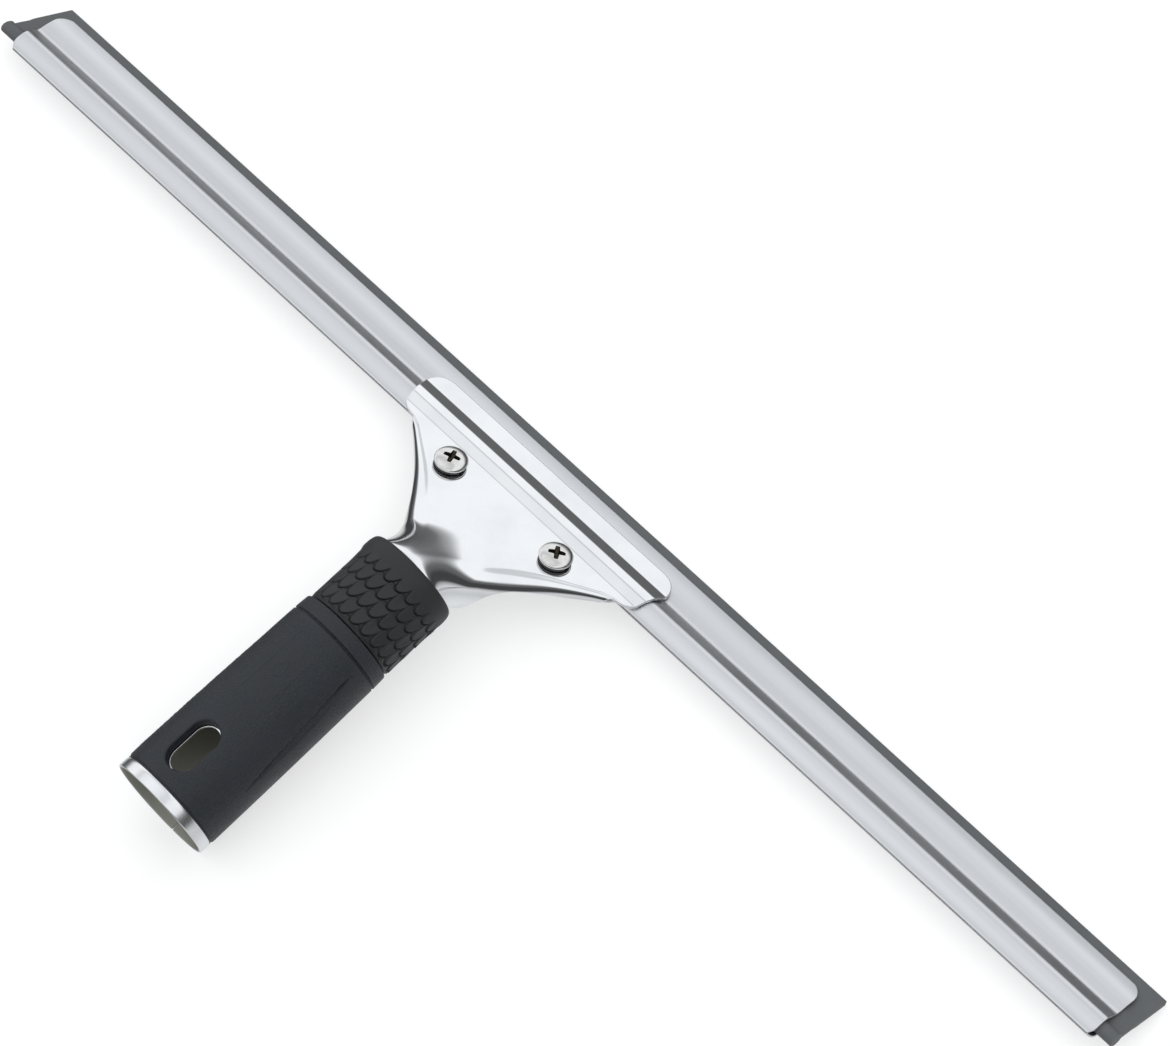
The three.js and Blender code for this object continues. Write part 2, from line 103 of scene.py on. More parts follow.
# how far the lower plate's sides lie inside the upper one's: at its front, under the screws, at its back
PLATE_INSETS = [8.7, 6.0, 8.5]
HEEL_Y = -53.4
HEEL_BEND = 1.0
HEEL_TOP = 0.8

TUBE_RADIUS = 12.7
TUBE_LENGTH = 96.3
RIM_RADIUS = 16.4
RIM_MOUNT = 15.4  # the tube_rim mount's distance from the tube's axis
SEAM = math.radians(1.4)

SLOT_CENTRE = 17.3
SLOT_STRAIGHT = 3.85  # half of the slot's straight part
SLOT_RADIUS = 4.65
SLOT_LIP = 0.45

SCREW_X = 21.85
SCREW_Y = -31.0
SCREW_TURN = {"left": 24, "right": 38}  # degrees that each recess is turned by
FIT = 0.3
UPPER_HOLE = 2.9  # radius of the screws' holes in the upper plate
LOWER_HOLE = 3.8
HOLE_REACH = 4.3  # half the side of the patch of sheet that is rebuilt round a hole
HOLE_EDGE = 0.2

GRIP_REAR = 3.9
GRIP_CORNER = 1.3
GRIP_GROOVE = 65.4
GRIP_SPLIT = 70.6
GRIP_FRONT = 96.3
SKIN = 16.0  # radius that angles on the grips are turned into lengths with
SIDE_START = 18.4  # where the long side grooves run from and to
SIDE_END = 63.0
BADGE_X = 0.8  # middle and half size of the moulded border
BADGE_Y = 49.5
BADGE_WIDE = 4.6
BADGE_LONG = 11.5


# ---- working frames ----

def mount_frame(name, sign, y, z):
    """A frame with +Y along the mount's axis or against it, moved by y and z millimetres."""
    mount = next(m for m in frame["record"]["mounts"] if m["name"] == name)
    across = Vector((1, 0, 0))
    along = sign * Vector(mount["axis"]).normalized()
    turn = Matrix((across, along, across.cross(along))).transposed().to_4x4()
    return Matrix.Translation(mount["pos_m"]) @ turn @ Matrix.Translation((0, y * MM, z * MM))


JAW = mount_frame("wiping_edge", 1, -BLADE_EDGE, -MIDDLE)
TUBE = mount_frame("tube_rim", -1, 0, -RIM_MOUNT)
tube_in_jaw = JAW.inverted() @ TUBE
TILT = math.atan2(tube_in_jaw[2][1], tube_in_jaw[1][1])
REAR_Y = tube_in_jaw.translation.y / MM
REAR_Z = tube_in_jaw.translation.z / MM


# ---- small maths ----

def lerp(a, b, t):
    return a + (b - a) * t


def smooth(x, low=0.0, high=1.0):
    t = np.clip((np.asarray(x, float) - low) / (high - low), 0, 1)
    return t * t * (3 - 2 * t)


def resample(line, count):
    """A polyline's points at even steps along it."""
    line = np.asarray(line, float)
    steps = np.r_[0, np.cumsum(np.linalg.norm(np.diff(line, axis=0), axis=1))]
    at = np.linspace(0, steps[-1], count)
    return np.stack([np.interp(at, steps, line[:, k]) for k in range(line.shape[1])], axis=1)


def bent_line(corners, bend):
    """Straight runs joined by round bends."""
    corners = [np.array(c, float) for c in corners]
    points = [corners[0]]
    for before, here, after in zip(corners, corners[1:], corners[2:]):
        start, end = (here + (to - here) / np.linalg.norm(to - here) * bend for to in (before, after))
        for t in np.linspace(0, 1, 24):
            points.append((1 - t) ** 2 * start + 2 * t * (1 - t) * here + t * t * end)
    return np.array(points + [corners[-1]])


def spline(points, count):
    """A smooth curve through the points."""
    points = np.array([points[0], *points, points[-1]], float)
    at = np.linspace(0, len(points) - 3, count)
    i = np.minimum(at.astype(int), len(points) - 4)
    t = (at - i)[:, None]
    a, b, c, d = (points[i + k] for k in range(4))
    square = (2 * a - 5 * b + 4 * c - d) * t**2
    return 0.5 * (2 * b + (c - a) * t + square + (3 * b - a - 3 * c + d) * t**3)


def corner_inset(distance, radius):
    """How far a rounded corner pulls the side in, at a distance from the end."""
    gone = np.clip(radius - np.asarray(distance, float), 0, radius)
    return radius - np.sqrt(np.maximum(radius**2 - gone**2, 0))


# ---- mesh building ----

def xyz(x, y, z):
    """Points from their coordinates, each of which may be one number for all."""
    return np.stack(np.broadcast_arrays(x, y, z), axis=-1)


def with_settings(thing, **settings):
    for name, value in settings.items():
        setattr(thing, name, value)
    return thing


def put(name, data):
    """A new object in the scene."""
    obj = bpy.data.objects.new(name, data)
    bpy.context.scene.collection.objects.link(obj)
    return obj


class Shell:
    """Points and faces of one closed mesh, in millimetres."""

    def __init__(self):
        self.points = []
        self.faces = []
        self.count = 0

    def add(self, points):
        points = np.asarray(points, float)
        ids = np.arange(self.count, self.count + points[..., 0].size).reshape(points.shape[:-1])
        self.points.append(points.reshape(-1, 3))
        self.count += ids.size
        return ids

    def places(self, ids):
        return np.concatenate(self.points)[ids]

    def grid(self, ids, skip=None):
        """Quads between neighbouring rows and columns, but for the cells in skip."""
        quads = np.stack([ids[:-1, :-1], ids[:-1, 1:], ids[1:, 1:], ids[1:, :-1]], axis=-1)
        if skip is not None:
            quads = quads[~skip]
        self.faces += quads.reshape(-1, 4).tolist()

    def rings(self, *loops):
        """Quads between closed loops, one after another."""
        self.grid(np.stack([np.r_[loop, loop[:1]] for loop in loops]))

    def rod(self, loops):
        """Rings with both ends closed."""
        self.rings(*loops)
        self.faces += [loops[0].tolist(), loops[-1][::-1].tolist()]

    def hoop(self, ids, skip=None):
        """A grid that closes on itself both ways."""
        across = np.concatenate([ids, ids[:, :1]], axis=1)
        self.grid(np.concatenate([across, across[:1]], axis=0), skip)

    def build(self, name, place, material, sharp=None):
        mesh = bpy.data.meshes.new(name)
        mesh.from_pydata((np.concatenate(self.points) * MM).tolist(), [], self.faces)
        edit = bmesh.new()
        edit.from_mesh(mesh)
        bmesh.ops.remove_doubles(edit, verts=edit.verts, dist=1e-7)
        bmesh.ops.delete(edit, geom=[v for v in edit.verts if not v.link_faces], context="VERTS")
        bmesh.ops.recalc_face_normals(edit, faces=edit.faces)
        edit.to_mesh(mesh)
        edit.free()
        mesh.transform(place)
        mesh.shade_smooth()
        if sharp:
            mesh.set_sharp_from_angle(angle=math.radians(sharp))
        mesh.materials.append(material)
        return put(name, mesh)


def loop_of(rows, columns):
    """The border of a grid as its rows and its columns, in order."""
    bottom, right = rows - 1, columns - 1
    i = np.r_[[0] * right, 0:bottom, [bottom] * right, bottom:0:-1]
    j = np.r_[0:right, [right] * bottom, right:0:-1, [0] * bottom]
    return i, j


def grid_normals(points):
    down = np.gradient(points, axis=0)
    across = np.gradient(points, axis=1)
    normals = np.cross(across, down)
    return normals / np.maximum(np.linalg.norm(normals, axis=-1, keepdims=True), 1e-12)


def quarter(count):
    """Angles over a quarter turn, from 0."""
    return np.linspace(0, math.pi / 2, count)


def edge_profile(thickness, edge):
    """Out and up offsets that round both edges of a sheet's rim, from its face to its back."""
    half = thickness / 2
    front = [(edge * math.sin(a), half - edge + edge * math.cos(a)) for a in quarter(5)[1:]]
    return front + [(out, -up) for out, up in reversed(front)]


class Hole:
    """A round-ended hole through a sheet: the cells it takes, and where its rings lie."""

    def __init__(self, rows, columns, centre, radius, straight, edge, axis=(0, 0, 1), rings=7):
        self.rows = rows
        self.columns = columns
        self.centre = np.array(centre, float)
        self.radius = radius
        self.straight = straight
        self.edge = edge
        self.axis = np.array(axis, float)
        self.ring_count = rings

    def outline(self, plan, offset):
        """The point of the hole's outline, grown by offset, nearest to each plan point."""
        away = plan - self.centre
        spine = np.zeros_like(away)
        spine[:, 1] = np.clip(away[:, 1], -self.straight, self.straight)
        out = away - spine
        out /= np.linalg.norm(out, axis=1, keepdims=True)
        return self.centre + spine + out * (self.radius + offset)

    def skip(self, mask):
        mask[slice(*self.rows), slice(*self.columns)] = True

    def face(self, shell, ids, surface, sign, local=lambda places: places):
        """One face's rings, from the border in to the hole's rim and round over its edge.

        surface turns plan points into places. local gives places in the frame of the plan.
        """
        (r0, r1), (c0, c1) = self.rows, self.columns
        i, j = loop_of(r1 - r0 + 1, c1 - c0 + 1)
        loops = [ids[i + r0, j + c0]]
        border = local(shell.places(loops[0]))[:, :2]
        inner = self.outline(border, self.edge)
        for step in range(1, self.ring_count + 1):
            loops.append(shell.add(surface(lerp(border, inner, step / self.ring_count))))
        for turn in quarter(5)[1:]:
            rim = surface(self.outline(border, self.edge * (1 - math.sin(turn))))
            loops.append(shell.add(rim - sign * self.axis * self.edge * (1 - math.cos(turn))))
        shell.rings(*loops)
        return loops[-1]


def thick_sheet(points, thickness, edge, holes=(), flip=False):
    """A sheet of even thickness over a grid of points on its middle surface, its rim rounded."""
    rows, columns = points.shape[:2]
    normals = grid_normals(points) * (-1 if flip else 1)
    shell = Shell()
    front = shell.add(points + normals * thickness / 2)
    back = shell.add(points - normals * thickness / 2)
    skip = np.zeros((rows - 1, columns - 1), bool)
    for hole in holes:
        hole.skip(skip)
    shell.grid(front, skip)
    shell.grid(back, skip)
    i, j = loop_of(rows, columns)
    rim, rim_normals = points[i, j], normals[i, j]
    along = np.roll(rim, -1, axis=0) - np.roll(rim, 1, axis=0)
    outward = np.cross(along, rim_normals)
    outward /= np.maximum(np.linalg.norm(outward, axis=1, keepdims=True), 1e-12)
    inside = points[np.clip(i, 1, rows - 2), np.clip(j, 1, columns - 2)]
    if np.sum(outward * (rim - inside)) < 0:
        outward = -outward
    loops = [front[i, j]]
    for out, up in edge_profile(thickness, edge):
        loops.append(shell.add(rim + outward * out + rim_normals * up))
    loops.append(back[i, j])
    shell.rings(*loops)
    return shell, front, back


def turned(profile, segments, radius_at):
    """A solid turned round Z from a closed profile of radius and height, its radii then changed."""
    radii, heights = np.array(profile, float).T[:, :, None]
    angles = np.linspace(0, 2 * math.pi, segments, endpoint=False)
    radii = radius_at(radii, heights, angles)
    shell = Shell()
    shell.hoop(shell.add(xyz(radii * np.cos(angles), radii * np.sin(angles), heights)))
    return shell


def moved(shell, x, y, z):
    shell.points = [p + np.array([x, y, z]) for p in shell.points]
    return shell


# ---- handle body: jaw, plate, neck and tube in one pressed sheet ----

NECK_Y = REAR_Y + TUBE_LENGTH * math.cos(TILT) - TUBE_RADIUS * math.sin(TILT)


def plate_half(y):
    along = np.maximum(0, (y - NECK_Y) / (PLATE_FRONT - NECK_Y))
    return TUBE_RADIUS + (PLATE_HALF - TUBE_RADIUS) * along**PLATE_FLARE


def plate_roll(y):
    """Radius of the plate's rolled sides."""
    return float(lerp(2.4, 7, smooth(-y, 28, 46)))


def plate_depth(y):
    """How far the plate's sides come down."""
    return float(lerp(2.4, 4.2, smooth(-y, -PLATE_FRONT, 36)))


def plate_sweep(y):
    """Angle the plate's sides turn through to come down by their depth."""
    return math.acos(1 - min(1, plate_depth(y) / plate_roll(y)))


def jaw_half(y):
    """Half the length of a jaw's bent strip at a given Y."""
    straight = JAW_FRONT - JAW_FRONT_CORNER
    along = max(0, (straight - y) / (straight - JAW_BACK))
    corners = corner_inset(JAW_FRONT - JAW_EDGE - y, JAW_FRONT_CORNER)
    corners = corners + corner_inset(y - JAW_BACK, JAW_BACK_CORNER)
    return JAW_HALF - JAW_EDGE - JAW_SLANT * along - corners


def tube_top(distance, radius):
    y = REAR_Y + distance * math.cos(TILT) - radius * math.sin(TILT)
    z = REAR_Z + distance * math.sin(TILT) + radius * math.cos(TILT)
    return np.array([y, z])


def rim_radius(distance):
    """Radius of the tube's outside, with its flared open end."""
    return lerp(TUBE_RADIUS, RIM_RADIUS, 1 - smooth(distance, 2.8, 8.5))


def section(y, z, tilt, half_width, radius, sweep, skirt, fractions, flip=1, crown=0):
    """A row across a sheet's middle, flat but for its crown and rolled down at both sides."""
    inner = radius - SHEET / 2
    flat = half_width - radius * math.sin(min(sweep, math.pi / 2))
    bow = inner * sweep
    s = fractions * (flat + bow + skirt)
    angle = np.clip((s - flat) / max(inner, 1e-6), 0, sweep)
    past = np.maximum(s - flat - bow, 0)
    across = np.minimum(s, flat) + inner * np.sin(angle) + past * math.cos(sweep)
    down = inner * (1 - np.cos(angle)) + past * math.sin(sweep)
    down = down - crown * np.maximum(0, 1 - (across / CROWN_HALF) ** 2) ** 2
    drop = np.r_[down[:0:-1], down]
    x = np.r_[-across[:0:-1], across]
    return xyz(x, y + drop * math.sin(tilt), z - flip * drop * math.cos(tilt))


PLATE_FRACTIONS = np.r_[np.linspace(0, 0.84, 44), np.linspace(0.84, 1, 31)[1:]]
TUBE_FRACTIONS = np.linspace(0, 1, len(PLATE_FRACTIONS))


def jaw_rows(side, inset=0):
    """The bent front of either jaw, from its lip to where the plate begins."""
    corners = [(JAW_FRONT - JAW_EDGE, JAW_CORNERS[0][1])] + JAW_CORNERS[1:] + [(JAW_BACK, PLATE_RISE)]
    line = resample(bent_line(corners, JAW_BEND), 66)
    rows = []
    for y, rise in line:
        across = PLATE_FRACTIONS * (jaw_half(y) - inset)
        rows.append(xyz(np.r_[-across[:0:-1], across], y, MIDDLE + side * rise))
    return rows


def handle_sheet():
    """The middle surface, as rows from the jaw's lip to the tube's rim."""
    crown = MIDDLE + PLATE_RISE
    rows = jaw_rows(1)
    for y in np.r_[np.arange(JAW_BACK - 0.06, -30, -0.2), np.linspace(-30, PLATE_END, 30)]:
        grown = smooth(-y, 0.1 - JAW_BACK, 2.2 - JAW_BACK)
        half = plate_half(y) - JAW_EDGE * (1 - grown)
        roll = lerp(1.2, plate_roll(y), grown)
        sweep = plate_sweep(y) * lerp(0.12, 1, grown)
        skirt = grown * max(0, plate_depth(y) - plate_roll(y))
        rows.append(section(y, crown, 0, half, roll, sweep, skirt, PLATE_FRACTIONS))
    hole_rows = len(rows)
    top = crown + SHEET / 2
    end = tube_top(TUBE_LENGTH, TUBE_RADIUS)
    crest = end + CREST * np.array([math.cos(TILT), math.sin(TILT)])
    control = np.array([(PLATE_END, top), (NECK_EASE, top), crest, end])
    for along in np.linspace(0, 1, 81)[1:]:
        back = 1 - along
        place = np.array([back**3, 3 * back**2 * along, 3 * back * along**2, along**3]) @ control
        turn = float(smooth(along))
        tilt = TILT * turn
        up = np.array([-math.sin(tilt), math.cos(tilt)])
        swell = (1 - float(smooth(along, 0.1, 1))) * (place[1] - top)
        y, z = place - up * (SHEET / 2 + swell)
        roll = lerp(plate_roll(y), TUBE_RADIUS, turn)
        sweep = lerp(plate_sweep(y), math.pi - SEAM, float(smooth(along, 0.15, 1)))
        fractions = lerp(PLATE_FRACTIONS, TUBE_FRACTIONS, turn)
        rows.append(section(y, z, tilt, plate_half(y), roll, sweep, 0, fractions, crown=swell))
    tube_row = len(rows)
    distances = np.r_[np.linspace(TUBE_LENGTH, 32, 25)[1:], np.arange(31, 8.5, -1.0)]
    distances = np.r_[distances, np.linspace(8.5, 0.5, 30)]
    for distance in distances:
        radius = float(rim_radius(distance))
        y, z = tube_top(distance, radius - SHEET / 2)
        rows.append(section(y, z, TILT, radius, radius, math.pi - SEAM, 0, TUBE_FRACTIONS))
    return np.array(rows), hole_rows, tube_row


def near(values, low, high):
    """First and last index of the values inside low..high."""
    inside = np.where((values > low) & (values < high))[0]
    return int(inside.min()), int(inside.max())


TUBE_TURN = np.array(tube_in_jaw.to_3x3())
TUBE_START = np.array([0, REAR_Y, REAR_Z])


def in_tube(points):
    """Points of the JAW frame, given in the TUBE frame."""
    return (points - TUBE_START) @ TUBE_TURN


def from_tube(points):
    """Points of the TUBE frame, given in the JAW frame."""
    return points @ TUBE_TURN.T + TUBE_START


def screw_holes(points, radius, row_limit):
    holes = []
    rows = near(points[:row_limit, points.shape[1] // 2, 1], SCREW_Y - HOLE_REACH, SCREW_Y + HOLE_REACH)
    for x in (-SCREW_X, SCREW_X):
        columns = near(points[(rows[0] + rows[1]) // 2, :, 0], x - HOLE_REACH, x + HOLE_REACH)
        holes.append(Hole(rows, columns, (x, SCREW_Y), radius, 0, HOLE_EDGE))
    return holes


def cut_flat(shell, holes, front, back, height):
    """Cuts the holes through a flat plate whose middle lies at that height."""
    def flat_at(z):
        return lambda plan: xyz(*plan.T, z)

    for hole in holes:
        rim = hole.face(shell, front, flat_at(height + SHEET / 2), 1)
        shell.rings(rim, hole.face(shell, back, flat_at(height - SHEET / 2), -1))


def round_at(radius):
    return lambda plan: from_tube(xyz(*plan.T, np.sqrt(radius**2 - plan[:, 0] ** 2)))


def handle_body(material):
    points, plate_rows, tube_row = handle_sheet()
    screws = screw_holes(points, UPPER_HOLE, plate_rows)
    local = in_tube(points[tube_row:])
    slot_rows = near(local[:, points.shape[1] // 2, 1], SLOT_CENTRE - 11, SLOT_CENTRE + 12)
    across = local[slot_rows[0], :, 0] + 100 * (local[slot_rows[0], :, 2] < 0)
    slot = Hole(
        tuple(row + tube_row for row in slot_rows), near(across, -7.6, 7.6), (0, SLOT_CENTRE),
        SLOT_RADIUS - SLOT_LIP, SLOT_STRAIGHT, HOLE_EDGE, (0, -math.sin(TILT), math.cos(TILT)),
    )
    shell, front, back = thick_sheet(points, SHEET, JAW_EDGE, [*screws, slot], flip=True)
    cut_flat(shell, screws, front, back, MIDDLE + PLATE_RISE)
    rim = slot.face(shell, front, round_at(TUBE_RADIUS), 1, in_tube)
    shell.rings(rim, slot.face(shell, back, round_at(TUBE_RADIUS - SHEET), -1, in_tube))
    return shell.build("handle_shell", JAW, material)


# ---- lower jaw ----

def lower_jaw(material):
    crown = MIDDLE - PLATE_RISE
    rows = jaw_rows(-1, LOWER_INSET)
    at_front, at_screws, at_back = PLATE_INSETS
    for y in np.r_[np.arange(JAW_BACK - 0.06, -34, -0.4), np.arange(-34, HEEL_Y, -0.5)]:
        grown = smooth(-y, -JAW_BACK - 1, -JAW_BACK + 5) * (1 - smooth(-y, 48, 52))
        tuck = lerp(at_front, at_screws, smooth(-y, 27, 30))
        tuck = tuck + (at_back - at_screws) * smooth(-y, 34, 47)
        roll, skirt = lerp(1.0, 2, grown), lerp(0.6, 0.2, grown)
        sweep = math.pi / 2 * lerp(0.05, 1, grown)
        half = plate_half(y) - tuck
        rows.append(section(y, crown, 0, half, roll, sweep, skirt, PLATE_FRACTIONS, flip=-1))
    plate_rows = len(rows)
    last = rows[-1]
    for turn in quarter(10)[1:]:
        row = last.copy()
        row[:, 1] = last[0, 1] - HEEL_BEND * math.sin(turn)
        row[:, 2] = last[:, 2] + HEEL_BEND * (1 - math.cos(turn))
        rows.append(row)
    for z in np.linspace(crown + HEEL_BEND, HEEL_TOP, 12)[1:]:
        row = rows[-1].copy()
        row[:, 2] = z
        row[:, 0] = last[:, 0] * (1 - 0.06 * corner_inset(HEEL_TOP - z, 2.0))
        rows.append(row)
    points = np.array(rows)
    holes = screw_holes(points, LOWER_HOLE, plate_rows)
    shell, front, back = thick_sheet(points, SHEET, JAW_EDGE, holes, flip=True)
    cut_flat(shell, holes, front, back, crown)
    return shell.build("lower_jaw_plate", JAW, material)


# ---- channel ----

def channel(material):
    edge = 0.22
    mirrored = [(y, -rise) for y, rise in reversed(CHANNEL_HALF)]
    line = spline([*CHANNEL_HALF, (CHANNEL_BACK + CHANNEL_SHEET / 2, 0), *mirrored], 900)
    line = resample(line, 190)[1:-1]
    ends = np.linspace(0, 1, 14) ** 1.6
    across = np.r_[ends * 0.06, np.linspace(0.06, 1, 50)[1:]]
    across = np.r_[-(1 - across), (1 - across)[-2::-1]]
    rows = []
    for y, rise in line:
        half = CHANNEL_LENGTH / 2 - edge
        half = half - corner_inset(CHANNEL_FRONT - y, 5) - corner_inset(y - CHANNEL_BACK, 2.5)
        rows.append(xyz(across * half, y, MIDDLE + rise))
    shell, _, _ = thick_sheet(np.array(rows), CHANNEL_SHEET, edge)
    return shell.build("channel_strip", JAW, material)


# ---- blade ----

def blade_profile():
    """The rubber's outline in Y and height, once round."""
    half = WEB / 2
    thin = NECK / 2
    radius = BEAD / 2
    join = math.asin(thin / radius)
    turns = np.linspace(join, 2 * math.pi - join, 40)
    bow = [(BEAD_Y + radius * math.cos(a), radius * math.sin(a)) for a in turns]
    corner = BLADE_CORNER * np.array([(0, 1), (0.3, 0.3), (1, 0)])
    side = [(BLADE_EDGE - back, half - down) for back, down in corner]
    side += [(y, half) for y in np.linspace(-0.5, -11.5, 12)]
    side += [(y, lerp(half, thin, float(smooth(-y, 11.5, 13)))) for y in np.linspace(-11.9, -13, 4)]
    side += [(y, thin) for y in np.linspace(-14, BEAD_Y + radius * math.cos(join) + 0.3, 4)]
    mirrored = [(y, -z) for y, z in reversed(side)]
    return np.array(side + bow + mirrored)


def blade(material):
    profile = blade_profile()
    left = BLADE_LEFT + (profile[:, 0] - BLADE_EDGE) * END_SLOPE
    shell = Shell()
    loops = []
    ends = [0, 0.15, 0.6, 1.5, 4]
    spans = [*ends, *np.linspace(8, 449, 90)]
    total = BLADE_RIGHT - BLADE_LEFT
    stations = [*(s / total for s in spans), *(1 - s / total for s in reversed(ends))]
    outward = profile - profile.mean(axis=0)
    outward /= np.linalg.norm(outward, axis=1, keepdims=True)
    for station in stations:
        shrink = BLADE_CORNER if station in (0.0, 1.0) else 0.0
        ring = profile - outward * shrink
        x = lerp(left, BLADE_RIGHT, station)
        loops.append(shell.add(xyz(x, ring[:, 0], MIDDLE + ring[:, 1])))
    shell.rod(loops)
    return shell.build("blade_rubber", JAW, material, sharp=50)


# ---- fasteners ----

PLATE_TOP = MIDDLE + PLATE_RISE + SHEET / 2
WASHER_Z = PLATE_TOP + FIT / 2
WASHER_HEIGHT = 0.9
HEAD_Z = WASHER_Z + WASHER_HEIGHT + FIT / 2
THREAD_PITCH = 0.8


def tooth(height, angle):
    """0 to 1 across one turn of a thread."""
    phase = (height / THREAD_PITCH - angle / (2 * math.pi)) % 1.0
    return np.clip(1.25 * (1 - np.abs(2 * phase - 1)) - 0.1, 0, 1)


def cross_cutter(depth, half_length, half_width):
    """A tapering cross, for the driver's recess."""
    shell = Shell()
    loops = []
    for z, size in ((1.2, 1.12), (0.0, 1.0), (-depth * 0.62, 0.8), (-depth, 0.42)):
        long = half_length * size
        wide = half_width * lerp(0.72, 1, size)
        arm = [(wide * 1.25, wide * 1.25), (wide * 1.05, long * 0.8), (wide * 0.8, long)]
        arm += [(-x, y) for x, y in reversed(arm[1:])]
        corners = []
        for turn in np.arange(4) * math.pi / 2:
            c, s = math.cos(turn), math.sin(turn)
            corners += [(x * c - y * s, x * s + y * c, z) for x, y in arm]
        loops.append(shell.add(corners))
    shell.rod(loops)
    return shell


def clamp_screw(side, x, material):
    head, height, edge = 5.0, 2.1, 0.55
    profile = [(0.02, height), (0.8, height - 0.015)]
    for turn in quarter(15)[-2::-1]:
        profile.append((head * math.cos(turn) ** 0.92, edge + (height - edge) * math.sin(turn)))
    profile += [(head - 0.02, 0.3), (head - 0.12, 0.08), (head - 0.3, 0), (2.7, 0), (2.4, -0.15)]
    profile += [(2.4, z) for z in np.arange(-0.25, -11.3, -0.08)]
    profile += [(2.3, -11.5), (1.9, -11.95), (1.7, -12), (0.02, -12)]

    def thread(radii, heights, angle):
        fade = smooth(-heights, 1.0, 1.8) * (heights > -11.4)
        shank = (radii < 2.45) & (radii > 2.35)
        return np.where(shank, radii - 0.42 * fade * (1 - tooth(heights, angle)), radii)

    turn = Matrix.Rotation(math.radians(SCREW_TURN[side]), 4, "Z")
    place = JAW @ Matrix.Translation((x * MM, SCREW_Y * MM, HEAD_Z * MM)) @ turn
    obj = turned(profile, 72, thread).build(f"screw_{side}", place, material)
    cutter = moved(cross_cutter(1.75, 2.55, 0.62), 0, 0, height - 0.12)
    cutter = cutter.build(f"cross_{side}", place, material)
    cut = obj.modifiers.new("recess", "BOOLEAN")
    with_settings(cut, operation="DIFFERENCE", solver="EXACT", object=cutter)
    soften = obj.modifiers.new("soften", "BEVEL")
    with_settings(soften, width=0.07 * MM, segments=2, limit_method="ANGLE", angle_limit=math.radians(50))
    bpy.context.view_layer.update()
    final = bpy.data.meshes.new_from_object(obj.evaluated_get(bpy.context.evaluated_depsgraph_get()))
    obj.modifiers.clear()
    obj.data = final
    final.shade_smooth()
    final.set_sharp_from_angle(angle=math.radians(35))
    bpy.data.objects.remove(cutter)
    return obj


def lock_washer(side, x, material):
    inner, outer, height = 2.7, 4.8, WASHER_HEIGHT - 0.2
    shell = Shell()
    loops = []
    corner = 0.16
    r0, r1, z0, z1 = inner + corner, outer - corner, corner, height - corner
    ring = []
    for k, (r, z) in enumerate(((r0, z0), (r1, z0), (r1, z1), (r0, z1))):
        for turn in math.pi + k * math.pi / 2 + quarter(4):
            ring.append((r + corner * math.cos(turn), z + corner * math.sin(turn)))
    ring = np.array(ring)
    gap = 0.16
    for at in np.linspace(0, 1, 73):
        slant = (ring[:, 1] - height / 2) * 0.16
        angle = lerp(gap, 2 * math.pi - gap, at) + slant * (0.5 - abs(at - 0.5) < 0.03)
        turned_ring = xyz(ring[:, 0] * np.cos(angle), ring[:, 0] * np.sin(angle), ring[:, 1] + 0.2 * at)
        loops.append(shell.add(turned_ring))
    shell.rod(loops)
    return moved(shell, x, SCREW_Y, WASHER_Z).build(f"washer_{side}", JAW, material, sharp=50)


def clamp_nut(side, x, material):
    bore, pilot, body, height = 2.72, 3.5, 4.5, 3.2
    seat = -SHEET - FIT
    low = seat - height
    profile = [(bore + 0.3, 0), (bore, -0.25)]
    profile += [(bore, z) for z in np.arange(-0.35, low + 0.3, -0.08)]
    profile += [(bore + 0.3, low), (body - 0.5, low), (body - 0.12, low + 0.25), (body, low + 0.6)]
    profile += [(body, z) for z in np.linspace(low + 0.8, seat - 1.2, 6)]
    profile += [(body - 0.3, seat - 1.05), (body - 0.3, seat - 0.9), (body, seat - 0.8)]
    profile += [(body, seat - 0.1), (body - 0.1, seat), (pilot, seat), (pilot, seat + 0.3)]
    profile += [(pilot - 0.2, -0.05), (pilot - 0.3, 0)]

    def shaped(radii, heights, angle):
        threaded = (np.abs(radii - bore) < 0.02) & (heights < -0.3)
        radii = np.where(threaded, radii - 0.17 * tooth(heights, angle), radii)
        knurled = (radii > body - 0.02) & (heights > seat - 0.85)
        return np.where(knurled, radii - 0.12 * (0.5 - 0.5 * np.cos(36 * angle)), radii)

    shell = turned(profile, 216, shaped)
    plate = MIDDLE - PLATE_RISE + SHEET / 2
    return moved(shell, x, SCREW_Y, plate).build(f"nut_{side}", JAW, material, sharp=45)


# ---- grips ----

def ring_points(distance, radius, angle):
    """Places in the TUBE frame; angle is 0 on the slot's side and grows towards +X."""
    return xyz(radius * np.sin(angle), distance, radius * np.cos(angle))


def signed(angle):
    """The angle brought between half a turn either way."""
    return (angle + math.pi) % (2 * math.pi) - math.pi


def fine_noise(distance, angle, scale, seed):
    """Smooth noise from -1 to 1 on a round sleeve, scale in millimetres."""
    places = ring_points(distance, SKIN, angle) / scale + np.array([0, seed, 0])
    values = [noise.noise(place) for place in places.reshape(-1, 3).tolist()]
    return np.array(values).reshape(places.shape[:-1])


def groove_path(distance):
    """Angle of the long side groove's edge at a distance along the grip."""
    t = (distance - SIDE_START) / (SIDE_END - SIDE_START)
    return np.radians(73.5 - 15.5 * t - 7.0 * t * (1 - t))


def border_distance(distance, angle):
    """How far outside the moulded border a point lies, less than 0 inside it."""
    across = np.abs(signed(angle) * SKIN - BADGE_X) - BADGE_WIDE
    return np.maximum(across, np.abs(distance - BADGE_Y) - BADGE_LONG)


